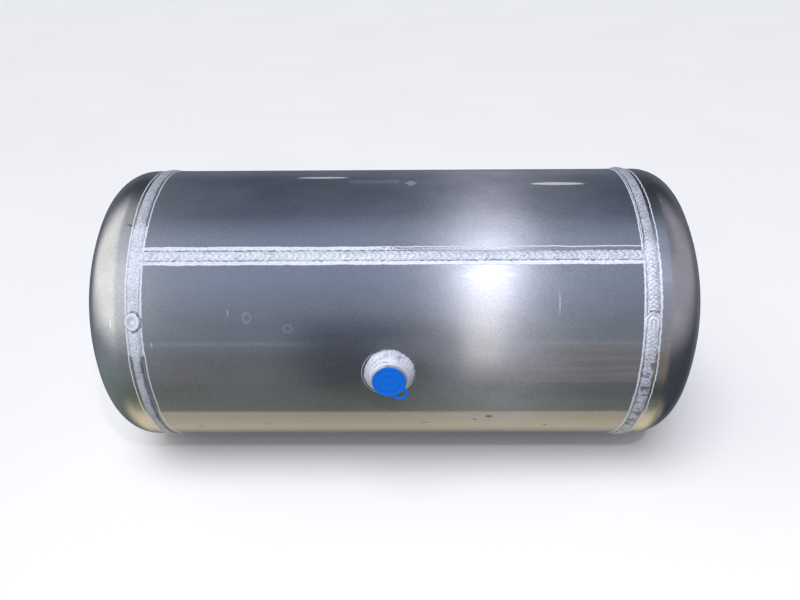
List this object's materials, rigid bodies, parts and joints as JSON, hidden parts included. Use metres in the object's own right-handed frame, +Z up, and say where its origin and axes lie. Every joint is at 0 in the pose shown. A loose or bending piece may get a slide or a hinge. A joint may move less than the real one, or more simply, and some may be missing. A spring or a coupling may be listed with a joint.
{
  "type": "air receiver tank",
  "caption": "Horizontal welded aluminium compressed-air receiver with dished ends, raised seams, threaded port bosses and pull-out plastic port plugs.",
  "frame": {"origin": "middle of the barrel's axis, half way between the two circumferential welds", "axes": "+X along the tank's axis towards the right head, +Z up with the tank lying on its side, drain port along -Y, service ports along +Y, longitudinal weld 45 degrees above the drain port"},
  "size_m": [0.6632, 0.3322, 0.3048],
  "materials": {
    "barrel_sheet": "mill satin, light handling marks",
    "head_sheet": "drawn and polished satin",
    "weld_metal": "as-welded, rippled, cleaned white at the borders",
    "boss_bar": "turned",
    "ring_strip": "mill",
    "plug_plastic": "blue moulded polyethylene"
  },
  "bodies": {
    "tank": {"barrel": "barrel_sheet", "longitudinal_weld": "weld_metal", "head_left": "head_sheet", "head_right": "head_sheet", "head_weld_left": "weld_metal", "head_weld_right": "weld_metal", "backing_ring_left": "ring_strip", "backing_ring_right": "ring_strip", "drain_boss": "boss_bar", "drain_boss_weld": "weld_metal", "inlet_boss": "boss_bar", "inlet_boss_weld": "weld_metal", "gauge_boss": "boss_bar", "gauge_boss_weld": "weld_metal", "outlet_boss": "boss_bar", "outlet_boss_weld": "weld_metal"},
    "drain_plug_body": {"drain_plug": "plug_plastic"},
    "inlet_plug_body": {"inlet_plug": "plug_plastic"},
    "gauge_plug_body": {"gauge_plug": "plug_plastic"},
    "outlet_plug_body": {"outlet_plug": "plug_plastic"}
  },
  "joints": [
    {"name": "drain_plug_pull", "type": "slide", "parent": "tank", "child": "drain_plug_body", "axis": [0, -1, 0], "range_m": [0, 0.08]},
    {"name": "inlet_plug_pull", "type": "slide", "parent": "tank", "child": "inlet_plug_body", "axis": [0, 1, 0], "range_m": [0, 0.08]},
    {"name": "gauge_plug_pull", "type": "slide", "parent": "tank", "child": "gauge_plug_body", "axis": [0, 1, 0], "range_m": [0, 0.08]},
    {"name": "outlet_plug_pull", "type": "slide", "parent": "tank", "child": "outlet_plug_body", "axis": [0, 1, 0], "range_m": [0, 0.08]}
  ]
}
